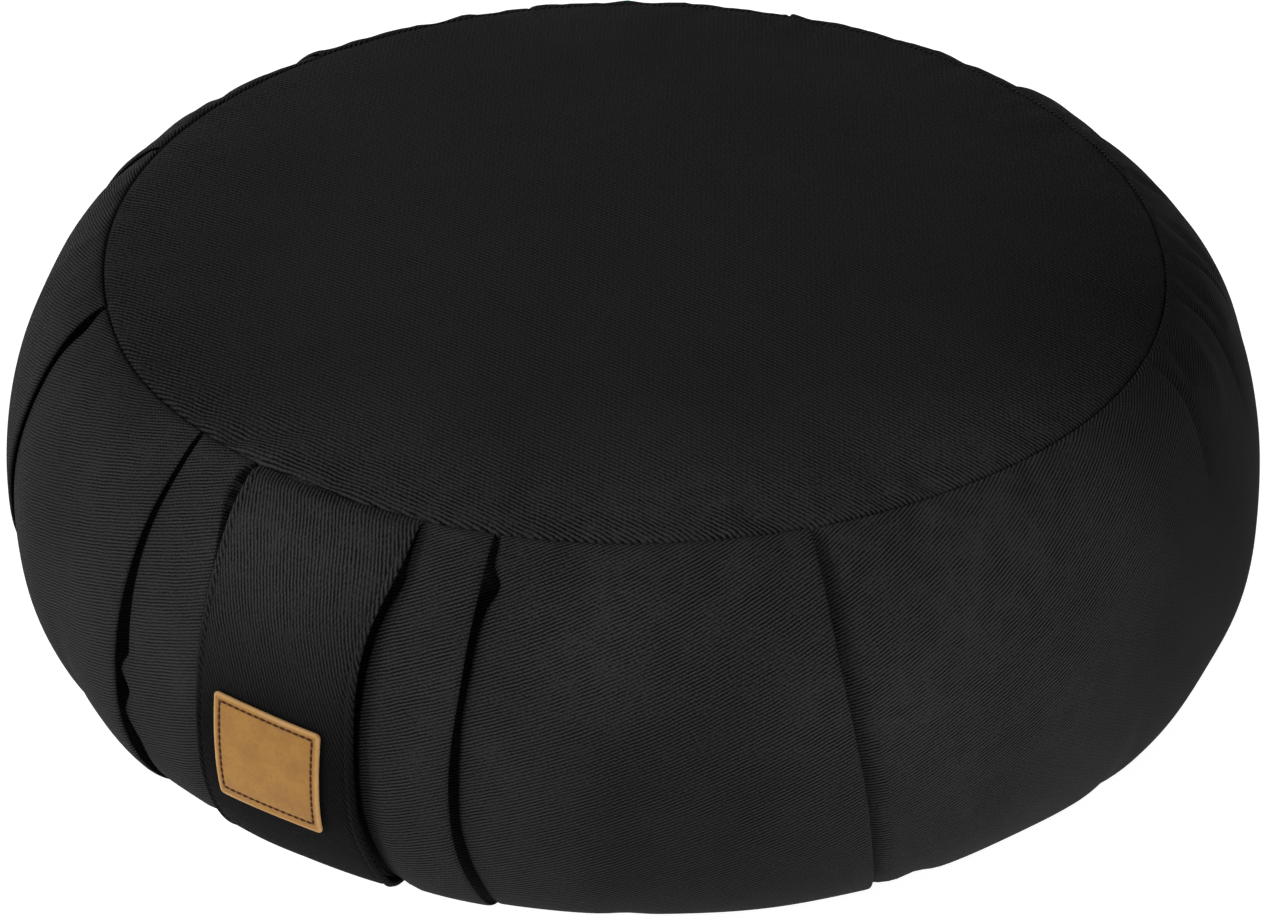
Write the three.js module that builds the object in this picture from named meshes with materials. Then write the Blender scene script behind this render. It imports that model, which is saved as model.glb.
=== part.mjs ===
// Round meditation cushion: a crowned top, a pleated side band and a flat rest face sewn into one filled form,
// with a carry strap down the side and a leather patch on the strap.
// Millimetres, +Z up. The floor is z = 0, the cushion's axis is the Z axis and its front faces -Y.
// An azimuth is in degrees, 0 at the front and positive towards +X.
// A share of the band, called drop, runs from 0 at the top seam to 1 where the band meets the floor.
import * as THREE from "three";

// Side band. It bulges widest at BULGE_DROP and curls under to the floor at the heel.
const BULGE_RADIUS = 198.2;
const BULGE_HEIGHT = 46;
const BULGE_DROP = 0.6;
const SEAM_RADIUS = 165;
const SEAM_HEIGHT = 122.3;
const SHOULDER_SWEEP = THREE.MathUtils.degToRad(68);
const SHOULDER_POWER = 0.96;
const HEEL_RADIUS = 168.5;
const HEEL_POWER = 0.87;
const SEAM_GROOVE = 1;
const FLOOR_CLEARANCE = 0.3;
const NORMAL_REACH = 0.004;

// Top and bottom panels. Only the bottom panel's flat middle, out to REST_RADIUS, lies on the floor.
const CROWN = 10.4;
const EDGE_ROLL = 1.6;
const EDGE_ROLL_POWER = 24;
const REST_RADIUS = 154;
const LOWER_SEAM_HEIGHT = 3;
const LOWER_ROLL_RADIUS = 160;
const LOWER_ROLL_HEIGHT = 0.8;

// Knife pleats. The cloth ramps up to each lip, and the folds open and close at these drops.
const RAMP_LENGTH = 42;
const RAMP_LEAST_START = 0.05;
const PANEL_SWELL = 1.2;
const FOLD_OPEN_BY = 0.14;
const FOLD_CLOSE_FROM = 0.62;

// Columns of points in a panel of the band: degrees between the even ones, and millimetres of two before each lip
const COLUMN_STEP = 7.5;
const CLOSE_COLUMNS = [14, 5];
const CLOSE_COLUMN_ROOM = 0.4; // share of a step that the even columns keep from the close ones

// Strap, sewn into both seams. It presses into the soft band from STRAP_SINK_FROM down.
const STRAP_THICKNESS = 1.6;
const STRAP_GAP = 0.7;
const STRAP_START = 0.02;
const STRAP_END = 0.97;
const STRAP_COLUMNS = 9;
const STRAP_SINK = 1.7;
const STRAP_SINK_FROM = 0.35;
const STRAP_SINK_BY = 0.8;
const STRAP_SINK_SIDE = 9;
const STRAP_SIDE_ROOM = 4; // beside the strap, the band's heel is still clear of it
const STRAP_PLEAT = 5; // row of the pleat whose lip lies under the strap's right edge
const STRAP_SIDE_COLUMNS = [-9, -2.5, 6]; // the band's columns past the strap's left edge
const STRAP_FREE_SHARE = 0.58; // the even columns of that panel start here

// Patch, placed by its middle's distance below the top seam and its azimuth
const PATCH_WIDTH = 36.2;
const PATCH_HEIGHT = 35.6;
const PATCH_THICKNESS = 1.4;
const PATCH_GAP = 0.5;
const PATCH_CORNER = 2.2;
const PATCH_COLUMNS = 5;
const PATCH_FROM_SEAM = 84.2;
const PATCH_AZIMUTH = -31.4;
const PATCH_TILT = THREE.MathUtils.degToRad(-0.4);

// Where the tables below give a lip's or an edge's azimuth, as shares of the band's drop
const STATIONS = [0, 0.3, 0.6, 0.8, 1];

// Azimuth of each pleat's lip at the stations, and how far the lip stands off the band.
// Every lip lies over the cloth on its higher-azimuth side.
const PLEATS = [
  { lip: [-167, -167.5, -168, -168, -168], lift: 2.4 },
  { lip: [-139, -139.5, -140, -140, -140], lift: 2.4 },
  { lip: [-111, -110, -109, -109, -109], lift: 2.4 },
  { lip: [-76.2, -76.3, -79, -80, -80], lift: 2.8 },
  { lip: [-49, -49.3, -49.9, -46.6, -43.5], lift: 3.2 },
  { lip: [-21.6, -23.2, -23.1, -20.3, -18], lift: 2.2 },
  { lip: [-13.5, -14.4, -15, -11.7, -8.5], lift: 3.2 },
  { lip: [17.6, 18.1, 20.2, 21.2, 21.8], lift: 2.4 },
  { lip: [67.4, 71, 73, 73, 73], lift: 2 },
  { lip: [81, 87.2, 90, 90, 90], lift: 2.2 },
  { lip: [89.8, 96.5, 100, 101, 101], lift: 2.2 },
  { lip: [131, 131.5, 132, 132, 132], lift: 2.4 },
  { lip: [162, 162, 162, 162, 162], lift: 2.4 },
];

// One fold in section: millimetres past the lip's edge and height as a share of the lift.
// sewn is the same point's place where the fold is stitched flat into a seam.
const FOLD = [
  { past: -1.6, sewn: -1.6, height: 1 },
  { past: 0, sewn: -0.9, height: 0.8 },
  { past: -0.5, sewn: -0.3, height: 0.42 },
  { past: -6, sewn: 0.3, height: 0.2 },
  { past: 1.6, sewn: 1.2, height: 0 },
];

// Uneven sewing of the top seam: how far it lies outside its mean radius, by azimuth
const SEAM_SHIFTS = [
  { azimuth: -180, shift: -2.2 },
  { azimuth: -145, shift: -2.6 },
  { azimuth: -112, shift: 0 },
  { azimuth: -77, shift: 1 },
  { azimuth: -62, shift: 2.5 },
  { azimuth: -42, shift: 1 },
  { azimuth: -10, shift: 0 },
  { azimuth: 30, shift: -1.8 },
  { azimuth: 60, shift: 0 },
  { azimuth: 92, shift: -1.8 },
  { azimuth: 120, shift: -3 },
  { azimuth: 180, shift: -2.2 },
];
const SEAM_SHIFT_REACH = 0.4;

// Azimuth of the strap's two edges at the stations
const STRAP_LEFT = [-40.5, -39, -38.7, -39.1, -39.4];
const STRAP_RIGHT = [-21, -22.7, -22.6, -19.8, -17.5];

// Rows of points, as shares of the top panel's radius and of the band's drop
const PANEL_ROWS = [0.4, 0.7, 0.88, 0.96, 0.99];
const BAND_ROWS = [0.016, 0.05, 0.1, 0.17, 0.25, 0.33, 0.41, 0.49, 0.56, 0.63, 0.7, 0.77, 0.84, 0.9, 0.96];
const PATCH_ROWS = 7;
const MEASURE_STEPS = 200;

const twill = new THREE.MeshStandardMaterial({ color: 0x26262a, roughness: 0.95, metalness: 0 });
const strapTwill = new THREE.MeshStandardMaterial({ color: 0x1f1f22, roughness: 0.95, metalness: 0 });
const leather = new THREE.MeshStandardMaterial({ color: 0xb08246, roughness: 0.6, metalness: 0 });

// Smooth curve through table values
function smoothCurve(places, values) {
  const curve = new THREE.CubicInterpolant(places, values, 1, new Float64Array(1));
  return (place) => curve.evaluate(place)[0];
}

const seamShift = smoothCurve(
  SEAM_SHIFTS.map((row) => row.azimuth),
  SEAM_SHIFTS.map((row) => row.shift),
);
const strapLeft = smoothCurve(STATIONS, STRAP_LEFT);
const strapRight = smoothCurve(STATIONS, STRAP_RIGHT);
const pleats = PLEATS.map(({ lip, lift }) => ({ lipAt: smoothCurve(STATIONS, lip), lift }));

function placed(radius, azimuth, height) {
  const angle = THREE.MathUtils.degToRad(azimuth);
  return new THREE.Vector3(radius * Math.sin(angle), -radius * Math.cos(angle), height);
}

// Share of the seam's shift that the band still has at a drop
function shiftShare(drop) {
  return Math.max(0, 1 - drop / SEAM_SHIFT_REACH) ** 2;
}

// Radius and height of the plain band: a shoulder arc down to the bulge, then a heel arc down to the floor
function bandProfile(drop) {
  if (drop < BULGE_DROP) {
    const turn = SHOULDER_SWEEP * (1 - drop / BULGE_DROP);
    const inward = (1 - Math.cos(turn) ** SHOULDER_POWER) / (1 - Math.cos(SHOULDER_SWEEP) ** SHOULDER_POWER);
    const upward = (Math.sin(turn) / Math.sin(SHOULDER_SWEEP)) ** SHOULDER_POWER;
    return new THREE.Vector2(
      BULGE_RADIUS - (BULGE_RADIUS - SEAM_RADIUS) * inward,
      BULGE_HEIGHT + (SEAM_HEIGHT - BULGE_HEIGHT) * upward,
    );
  }
  const turn = Math.min(1, (drop - BULGE_DROP) / (1 - BULGE_DROP)) * Math.PI / 2;
  return new THREE.Vector2(
    BULGE_RADIUS - (BULGE_RADIUS - HEEL_RADIUS) * (1 - Math.cos(turn) ** HEEL_POWER),
    BULGE_HEIGHT * (1 - Math.sin(turn) ** HEEL_POWER),
  );
}

// Direction straight out of the plain band, as radius and height
function bandNormal(drop) {
  const above = bandProfile(Math.max(0, drop - NORMAL_REACH));
  const below = bandProfile(Math.min(1, drop + NORMAL_REACH));
  const along = below.sub(above).normalize();
  return new THREE.Vector2(-along.y, along.x);
}

// How far the taut strap presses into the soft band, more towards its foot and easing off at its sides
function strapSink(azimuth, drop) {
  const { smoothstep } = THREE.MathUtils;
  const side = degreesAcross(STRAP_SINK_SIDE, drop);
  const intoLeft = smoothstep(azimuth, strapLeft(drop) - side, strapLeft(drop));
  const intoRight = 1 - smoothstep(azimuth, strapRight(drop), strapRight(drop) + side);
  return STRAP_SINK * intoLeft * intoRight * smoothstep(drop, STRAP_SINK_FROM, STRAP_SINK_BY);
}

// Point on the band, raised off its plain form and kept this far above the floor
function bandPoint(azimuth, drop, raise, lowest) {
  const off = raise - strapSink(azimuth, drop);
  const at = bandProfile(drop).addScaledVector(bandNormal(drop), off);
  const radius = at.x + seamShift(azimuthWithin(azimuth)) * shiftShare(drop);
  return placed(radius, azimuth, Math.max(lowest, at.y));
}

// How low the band's cloth may reach: the strap runs under it to the bottom seam, so it lies higher there
function bandLowest(azimuth, drop) {
  const beside = degreesAcross(STRAP_SIDE_ROOM, drop);
  const overIt = azimuth > strapLeft(drop) - beside && azimuth < strapRight(drop) + beside;
  return FLOOR_CLEARANCE + (overIt ? STRAP_THICKNESS + STRAP_GAP : 0);
}

function azimuthWithin(azimuth) {
  return THREE.MathUtils.euclideanModulo(azimuth + 180, 360) - 180;
}

function degreesAcross(millimetres, drop) {
  return THREE.MathUtils.radToDeg(millimetres / bandProfile(drop).x);
}

// How far the pleats stand open: sewn flat at the top seam, soon wide open, and pressed flat again at the floor
function foldOpening(drop) {
  const opened = Math.sqrt(Math.min(1, drop / FOLD_OPEN_BY));
  return opened * (1 - THREE.MathUtils.smoothstep(drop, FOLD_CLOSE_FROM, 1));
}

// Height of a panel of cloth between two pleats: a slight swell, and a ramp up to the next lip
function panelRaise(share, width, lift, drop) {
  const rampStart = Math.max(RAMP_LEAST_START, 1 - RAMP_LENGTH / width);
  const ramp = THREE.MathUtils.smoothstep(share, rampStart, 1);
  const swell = PANEL_SWELL * Math.sin(Math.PI * THREE.MathUtils.clamp(share, 0, 1));
  return (lift * ramp + swell * (1 - ramp)) * foldOpening(drop);
}

// The lips on both sides of a panel, and the panel's width in millimetres at a drop
function panelSpan(index, drop) {
  const start = pleats[index].lipAt(drop);
  const next = (index + 1) % pleats.length;
  const end = pleats[next].lipAt(drop) + (next === 0 ? 360 : 0);
  const width = THREE.MathUtils.degToRad(end - start) * bandProfile(drop).x;
  return { start, end, width, lift: pleats[next].lift };
}

// Shares across a panel of its columns, evenly spread with two more close to the next lip
function panelShares(index, firstFree) {
  const { start, end, width } = panelSpan(index, BULGE_DROP);
  const count = Math.ceil((end - start) / COLUMN_STEP);
  const even = Array.from({ length: count - 1 }, (_, place) => (place + 1) / count);
  const close = CLOSE_COLUMNS.map((before) => 1 - before / width);
  const lastFree = close[0] - CLOSE_COLUMN_ROOM / count;
  return [...even.filter((share) => share > firstFree && share < lastFree), ...close];
}

// Lines down the band beside the strap's left edge, where the cloth starts to sink under the strap
function strapSideLines() {
  return STRAP_SIDE_COLUMNS.map((past) => (drop) => strapLeft(drop) + degreesAcross(past, drop));
}

// Columns of one panel, as lines down the band at an azimuth, raised as the panel is there
function panelColumns(index) {
  const strapLines = index + 1 === STRAP_PLEAT ? strapSideLines() : [];
  const firstFree = strapLines.length > 0 ? STRAP_FREE_SHARE : 0;
  const panelLines = panelShares(index, firstFree).map((share) => (drop) => {
    const { start, end } = panelSpan(index, drop);
    return THREE.MathUtils.lerp(start, end, share);
  });
  return [...strapLines, ...panelLines].map((line) => (drop) => {
    const { start, end, width, lift } = panelSpan(index, drop);
    const azimuth = line(drop);
    return { azimuth, raise: panelRaise((azimuth - start) / (end - start), width, lift, drop) };
  });
}

// Columns of one fold: over the lip, back under it into the pocket, and out along the cloth beneath
function foldColumns(index) {
  const { lipAt, lift } = pleats[index];
  return FOLD.map(({ past, sewn, height }) => (drop) => {
    const opening = foldOpening(drop);
    const offset = THREE.MathUtils.lerp(sewn, past, opening);
    return { azimuth: lipAt(drop) + degreesAcross(offset, drop), raise: lift * height * opening };
  });
}

function bandColumns() {
  return pleats.flatMap((_, index) => [...foldColumns(index), ...panelColumns(index)]);
}

// Height of the crowned top panel at a share of its radius
function panelHeight(share) {
  const roll = EDGE_ROLL * Math.sqrt(1 - share ** EDGE_ROLL_POWER);
  return SEAM_HEIGHT - SEAM_GROOVE + CROWN * (1 - share ** 2) + roll;
}

function seamRing(columns) {
  return columns.map((column) => {
    const { azimuth } = column(0);
    return placed(SEAM_RADIUS + seamShift(azimuthWithin(azimuth)), azimuth, SEAM_HEIGHT - SEAM_GROOVE);
  });
}

function topPanelRing(seam, share) {
  return seam.map(({ x, y }) => new THREE.Vector3(x * share, y * share, panelHeight(share)));
}

function bandRing(columns, drop) {
  return columns.map((column) => {
    const { azimuth, raise } = column(drop);
    return bandPoint(azimuth, drop, raise, bandLowest(azimuth, drop));
  });
}

function lowerRing(columns, radius, height) {
  return columns.map((column) => placed(radius, column(1).azimuth, height));
}

function indexedGeometry(points, faces) {
  const geometry = new THREE.BufferGeometry().setFromPoints(points);
  geometry.setIndex(faces);
  geometry.computeVertexNormals();
  return geometry;
}

// Closed form through rings of points, from a top point down to a bottom point
function ringedGeometry(top, rings, bottom) {
  const points = [top, ...rings.flat(), bottom];
  const count = rings[0].length;
  const at = (row, column) => 1 + row * count + (column % count);
  const last = rings.length - 1;
  const faces = [];
  for (let column = 0; column < count; column += 1) {
    faces.push(0, at(0, column), at(0, column + 1));
    for (let row = 0; row < last; row += 1) {
      faces.push(at(row, column), at(row + 1, column), at(row + 1, column + 1));
      faces.push(at(row, column), at(row + 1, column + 1), at(row, column + 1));
    }
    faces.push(points.length - 1, at(last, column + 1), at(last, column));
  }
  return indexedGeometry(points, faces);
}

// Closed sheet between an outer and an inner grid of points, each row running left to right, top row first
function sheetGeometry(outer, inner) {
  const rows = outer.length;
  const columns = outer[0].length;
  const points = [...outer.flat(), ...inner.flat()];
  const front = (row, column) => row * columns + column;
  const back = (row, column) => (rows + row) * columns + column;
  const faces = [];
  const quad = (a, b, c, d) => faces.push(a, b, c, a, c, d);
  for (let row = 0; row + 1 < rows; row += 1) {
    for (let column = 0; column + 1 < columns; column += 1) {
      quad(front(row, column), front(row + 1, column), front(row + 1, column + 1), front(row, column + 1));
      quad(back(row, column), back(row, column + 1), back(row + 1, column + 1), back(row + 1, column));
    }
    quad(back(row, 0), back(row + 1, 0), front(row + 1, 0), front(row, 0));
    const right = columns - 1;
    quad(front(row, right), front(row + 1, right), back(row + 1, right), back(row, right));
  }
  for (let column = 0; column + 1 < columns; column += 1) {
    quad(back(0, column), front(0, column), front(0, column + 1), back(0, column + 1));
    const low = rows - 1;
    quad(front(low, column), back(low, column), back(low, column + 1), front(low, column + 1));
  }
  return indexedGeometry(points, faces);
}

// Height of the band's outer cloth at any azimuth that isn't on a fold
function raiseAt(azimuth, drop) {
  for (let index = 0; index < pleats.length; index += 1) {
    const { start, end, width, lift } = panelSpan(index, drop);
    if (azimuth >= start && azimuth < end) {
      return panelRaise((azimuth - start) / (end - start), width, lift, drop);
    }
  }
  return 0;
}

// Point of the strap, or over it, standing off the band's cloth. Past the crest of the pleat below, it stays level.
function overStrap(azimuth, drop, off) {
  const crest = pleats[STRAP_PLEAT].lipAt(drop) + degreesAcross(FOLD[0].past, drop);
  const lowest = FLOOR_CLEARANCE + Math.max(0, STRAP_GAP + STRAP_THICKNESS - off);
  return bandPoint(azimuth, drop, raiseAt(Math.min(azimuth, crest), drop) + off, lowest);
}

// Lengths along the band from the top seam, at even steps of drop
function bandLengths() {
  const drops = Array.from({ length: MEASURE_STEPS + 1 }, (_, place) => place / MEASURE_STEPS);
  const lengths = [0];
  for (let place = 1; place <= MEASURE_STEPS; place += 1) {
    const step = bandProfile(drops[place]).distanceTo(bandProfile(drops[place - 1]));
    lengths.push(lengths[place - 1] + step);
  }
  return { drops, lengths };
}

function cushionMesh() {
  const columns = bandColumns();
  const seam = seamRing(columns);
  const rings = [
    ...PANEL_ROWS.map((share) => topPanelRing(seam, share)),
    seam,
    ...[...BAND_ROWS, 1].map((drop) => bandRing(columns, drop)),
    lowerRing(columns, SEAM_RADIUS, LOWER_SEAM_HEIGHT),
    lowerRing(columns, LOWER_ROLL_RADIUS, LOWER_ROLL_HEIGHT),
    lowerRing(columns, REST_RADIUS, 0),
  ];
  const crownPoint = new THREE.Vector3(0, 0, panelHeight(0));
  return namedMesh("cushion", ringedGeometry(crownPoint, rings, new THREE.Vector3()), twill);
}

function carryStrapMesh() {
  const drops = [STRAP_START, ...BAND_ROWS.filter((drop) => drop > STRAP_START && drop < STRAP_END), STRAP_END];
  const grid = (off) => drops.map((drop) => Array.from({ length: STRAP_COLUMNS }, (_, column) => {
    const azimuth = THREE.MathUtils.lerp(strapLeft(drop), strapRight(drop), column / (STRAP_COLUMNS - 1));
    return overStrap(azimuth, drop, off);
  }));
  return namedMesh("carry_strap", sheetGeometry(grid(STRAP_GAP + STRAP_THICKNESS), grid(STRAP_GAP)), strapTwill);
}

// Half width of the patch at a height from its middle, narrower where the corners are rounded
function patchHalfWidth(up) {
  const intoCorner = Math.max(0, Math.abs(up) - (PATCH_HEIGHT / 2 - PATCH_CORNER));
  return PATCH_WIDTH / 2 - PATCH_CORNER + Math.sqrt(PATCH_CORNER ** 2 - intoCorner ** 2);
}

function patchRowHeights() {
  const straight = PATCH_HEIGHT / 2 - PATCH_CORNER;
  const between = Array.from({ length: PATCH_ROWS }, (_, row) => straight * (1 - 2 * row / (PATCH_ROWS - 1)));
  const cornerMiddle = straight + PATCH_CORNER * Math.SQRT1_2;
  return [PATCH_HEIGHT / 2, cornerMiddle, ...between, -cornerMiddle, -PATCH_HEIGHT / 2];
}

function leatherPatchMesh() {
  const { drops, lengths } = bandLengths();
  const dropAt = smoothCurve(lengths, drops);
  const patchPoint = (across, up, off) => {
    const turned = new THREE.Vector2(across, up).rotateAround(new THREE.Vector2(), PATCH_TILT);
    const drop = dropAt(PATCH_FROM_SEAM - turned.y);
    return overStrap(PATCH_AZIMUTH + degreesAcross(turned.x, drop), drop, off);
  };
  const inner = STRAP_GAP + STRAP_THICKNESS + PATCH_GAP;
  const grid = (off) => patchRowHeights().map((up) => Array.from({ length: PATCH_COLUMNS }, (_, column) => {
    const across = patchHalfWidth(up) * (2 * column / (PATCH_COLUMNS - 1) - 1);
    return patchPoint(across, up, off);
  }));
  return namedMesh("leather_patch", sheetGeometry(grid(inner + PATCH_THICKNESS), grid(inner)), leather);
}

function namedMesh(name, geometry, material) {
  const mesh = new THREE.Mesh(geometry, material);
  mesh.name = name;
  return mesh;
}

const zafu = new THREE.Group();
zafu.add(cushionMesh(), carryStrapMesh(), leatherPatchMesh());

export default zafu;
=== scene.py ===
# Round meditation cushion of black cotton twill: a crowned top, a pleated band, a carry strap, a leather patch.
# Lengths are in millimetres up to the meshes, which are in metres. +Z is up and the front faces -Y.
# An azimuth is in degrees, 0 at the front and positive towards +X.
# A share of the band, called drop, runs from 0 at the top seam to 1 where the band meets the floor.
import math

import bpy
import numpy as np
from mathutils import Matrix, Vector, noise
from mathutils.kdtree import KDTree


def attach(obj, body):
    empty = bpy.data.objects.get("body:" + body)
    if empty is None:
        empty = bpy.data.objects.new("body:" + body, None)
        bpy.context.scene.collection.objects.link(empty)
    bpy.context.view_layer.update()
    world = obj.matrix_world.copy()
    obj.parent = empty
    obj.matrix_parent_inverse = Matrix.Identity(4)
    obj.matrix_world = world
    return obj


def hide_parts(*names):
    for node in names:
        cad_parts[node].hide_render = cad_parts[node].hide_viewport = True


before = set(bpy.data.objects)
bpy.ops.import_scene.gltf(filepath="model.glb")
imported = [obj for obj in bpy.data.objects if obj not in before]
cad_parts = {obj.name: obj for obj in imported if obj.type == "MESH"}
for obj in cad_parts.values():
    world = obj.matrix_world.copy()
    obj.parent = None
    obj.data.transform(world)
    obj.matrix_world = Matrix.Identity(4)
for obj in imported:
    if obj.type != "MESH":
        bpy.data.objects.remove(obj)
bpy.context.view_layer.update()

MM = 0.001

# Side band, as in the CAD model
BULGE_RADIUS = 198.2
BULGE_HEIGHT = 46
BULGE_DROP = 0.6
SEAM_RADIUS = 165
SEAM_HEIGHT = 122.3
SHOULDER_SWEEP = math.radians(68)
SHOULDER_POWER = 0.96
HEEL_RADIUS = 168.5
HEEL_POWER = 0.87
SEAM_GROOVE = 1
FLOOR_CLEARANCE = 0.3
NORMAL_REACH = 0.004

# Top and bottom panels
CROWN = 10.4
EDGE_ROLL = 1.6
EDGE_ROLL_POWER = 24
REST_RADIUS = 154

# Rings under the band: radius, height, and the drop that stands for each in the weave
UNDER_RINGS = [(SEAM_RADIUS, 3, 1.03), (160, 0.8, 1.06), (REST_RADIUS, 0, 1.1), (REST_RADIUS / 2, 0, 1.5)]

# Knife pleats
RAMP_LENGTH = 42
RAMP_LEAST_START = 0.05
PANEL_SWELL = 1.2
LIP_THICKNESS = 1.5
PANEL_COLUMN_EVERY = 3.2

# Strap and patch
STRAP_THICKNESS = 1.6
STRAP_GAP = 0.5
STRAP_SIDE_ROOM = 4
STRAP_UNDER_ROOM = 0.2
STRAP_SINK = 1.7
STRAP_SINK_FROM = 0.35
STRAP_SINK_BY = 0.8
STRAP_SINK_SIDE = 9
STRAP_START = 0.003
STRAP_END = 0.97
STRAP_PLEAT = 5
STRAP_MEAN_WIDTH = 58
STRAP_ROWS = 110
STRAP_COLUMNS = 44
STRAP_STITCH_INSET = 2.6
PATCH_THICKNESS = 1.5
PATCH_GAP = 0.25
PATCH_HALF_WIDTH = 18.5
PATCH_HALF_HEIGHT = 17.8
PATCH_CORNER = 1.5
PATCH_LEAST_CORNER = 0.35

# Where the tables below give an azimuth, as shares of the band's drop
STATIONS = [0, 0.12, 0.3, 0.6, 0.8, 1]

# Pleats: azimuth of each lip at the stations, how far it stands off the band, how deep its pocket is, how it
# gapes, the drop by which it is open, the drops between which it is pressed flat again, and how deep the cloth
# dips past it
OPEN = 0.14
FLAT = (0.62, 1)
PLEAT_KEYS = ("lip", "lift", "pocket", "gape", "open", "flat", "valley")
PLEAT_ROWS = [
    ([-167, -167.2, -167.5, -168, -168, -168], 1.2, 1.2, "even"),
    ([-139, -139.2, -139.5, -140, -140, -140], 1.7, 2, "even"),
    ([-111, -110.6, -110, -109, -109, -109], 1.6, 3, "even"),
    ([-76.2, -75.9, -76.3, -80.5, -83.5, -85], 1.7, 6, "tight", OPEN, (0.5, 0.85)),
    ([-49, -48.8, -49.3, -49.9, -48.8, -48.5], 2.7, 6.5, "wavy", 0.3),
    ([-21.6, -21.9, -23.5, -23.5, -22.3, -22.7], 2.2, 6.5, "strap", 0.3),
    ([-13.5, -13.8, -14.4, -15, -12.8, -12.2], 3.2, 7, "notched"),
    ([17.6, 17.3, 17.6, 19.7, 21.6, 23.4], 2.6, 1, "shut", OPEN, FLAT, 3.8),
    ([67.4, 66.2, 64.5, 63.5, 63.5, 63.5], 1.7, 1, "shut", OPEN, (0.1, 0.36), 2),
    ([81, 80, 78.5, 77.5, 77.5, 77.5], 1.8, 1.2, "shut", OPEN, (0.1, 0.4), 1.8),
    ([89.8, 90, 89.6, 89, 89, 89], 1.8, 1.2, "shut", OPEN, (0.1, 0.45), 1.8),
    ([131, 131.2, 131.5, 132, 132, 132], 1.8, 2, "even"),
    ([162, 162, 162, 162, 162, 162], 1.2, 1.2, "even"),
]
PLEATS = [{"open": OPEN, "flat": FLAT, "valley": 0, **dict(zip(PLEAT_KEYS, row))} for row in PLEAT_ROWS]
VALLEY_WIDTH = 7

# How far the pocket beside a lip reaches past the lip, in millimetres, down the band
GAPE_DROPS = [0, 0.04, 0.07, 0.09, 0.12, 0.15, 0.18, 0.22, 0.28, 0.35, 0.41, 0.47, 0.54]
GAPE_DROPS += [0.575, 0.61, 0.65, 0.7, 1]
GAPES = {
    "even": [1, 1, 1.2, 1.4, 1.4, 1.2, 1, 0.9, 0.9, 1, 1.2, 1.3, 1.2, 1.2, 1.2, 1.3, 1.4, 1.4],
    "tight": [0.8, 3.2, 4.2, 3.6, 2, 0.9, 0.2, -0.3, -0.5, -0.6, -0.6, -0.5] + [-0.4] * 6,
    "wavy": [0.3, 0, -0.4, -0.6, -0.8, -0.9, -0.9, -0.8, -0.5, 0, 0.8, 1.8, 2.8, -1.6, 2.8, -1.8, 2.8, 0.8],
    "strap": [0.6, 0.8, 1, 1.2, 1.6, 3.2, 3, 1.9, 1.5, 1.3, 1, 0.6, 0.2, -0.1, -0.2, 0, 0.2, 0.3],
    "notched": [0.6, 1.4, 0.9, 1.9, 4.6, 3.9, 2, 1.2, 1, 0.8, 0.7, 1.3, 1.6, 1.4, 1.2, 1.6, 1.4, 1.4],
    "shut": [0.3, 0.3, 0.4, 0.5, 0.5, 0.5, 0.4, 0.4, 0.4, 0.4, 0.4, 0.4, 0.4, 0.5, 0.6, 0.8, 0.9, 0.9],
}

# One fold in section: millimetres past the lip, or past the pocket's rim where rim is set, and where it is
# sewn flat into a seam. lift, thick and deep are shares of the pleat's lift, of the lip's thickness below it
# and of the pocket's depth below the band. under is the share of the valley.
FOLD_KEYS = ("past", "sewn", "lift", "thick", "deep", "under", "rim")
FOLD_ROWS = [
    (-2.6, -2.4, 1, 0, 0, 0, False),
    (-1.2, -1.6, 1, 0.03, 0, 0, False),
    (-0.35, -1.1, 1, 0.18, 0, 0, False),
    (0, -0.8, 1, 0.5, 0, 0, False),
    (-0.35, -0.5, 1, 0.82, 0, 0, False),
    (-1.4, -0.3, 1, 1, 0, 0, False),
    (-4.5, -0.15, 1, 1.1, 0.05, 0.2, False),
    (-8.4, 0, 0.6, 0.8, 0.3, 0.5, False),
    (-9.6, 0.1, 0.2, 0.3, 0.6, 1, False),
    (-8.4, 0.2, 0, 0, 0.9, 1, False),
    (-4.5, 0.35, 0, 0, 1, 1, False),
    (-0.9, 0.5, 0, 0, 0.97, 1, True),
    (-0.35, 0.7, 0, 0, 0.72, 1, True),
    (0.05, 0.95, 0, 0, 0.36, 1, True),
    (0.6, 1.3, 0, 0, 0.1, 1, True),
    (1.6, 1.8, 0, 0, 0.02, 1, True),
    (3.2, 2.6, 0, 0, 0, 1, True),
]
FOLD = [dict(zip(FOLD_KEYS, row)) for row in FOLD_ROWS]

# Uneven sewing of the top seam: how far it lies outside its mean radius, by azimuth
SEAM_SHIFT_AZIMUTHS = [-180, -145, -112, -77, -62, -42, -10, 30, 60, 92, 120, 180]
SEAM_SHIFTS = [-2.2, -2.6, 0, 1, 2.5, 1, 0, -1.8, 0, -1.8, -3, -2.2]
SEAM_SHIFT_REACH = 0.4

# Azimuths of the strap's two edges at the stations
STRAP_LEFT = [-40.5, -39.8, -39.4, -39.3, -39.6, -39.6]
STRAP_RIGHT = [-21, -21.4, -23.1, -23, -21.9, -22.2]

# The band gives way beside the strap's left edge near the top: how wide the dark wedge is, in millimetres
WEDGE_DROPS = [0, 0.04, 0.1, 0.16, 0.22, 0.27, 1]
WEDGE_WIDTHS = [1.2, 4, 5, 3.8, 2, 1, 0.8]
WEDGE_DEPTH = 6
WEDGE_COLUMNS = [-6.5, -5, -4.2, -3.6, -3, -2.4, -1.8, -1.2, -0.6, 0.2, 1.4, 3, 5, 8]

# The patch's corners, top left and right, then low left and right: millimetres down the band, and azimuth
PATCH_CORNERS = [(66.3, -36.8), (66.9, -26), (101.9, -36.7), (101.9, -26.3)]

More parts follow.
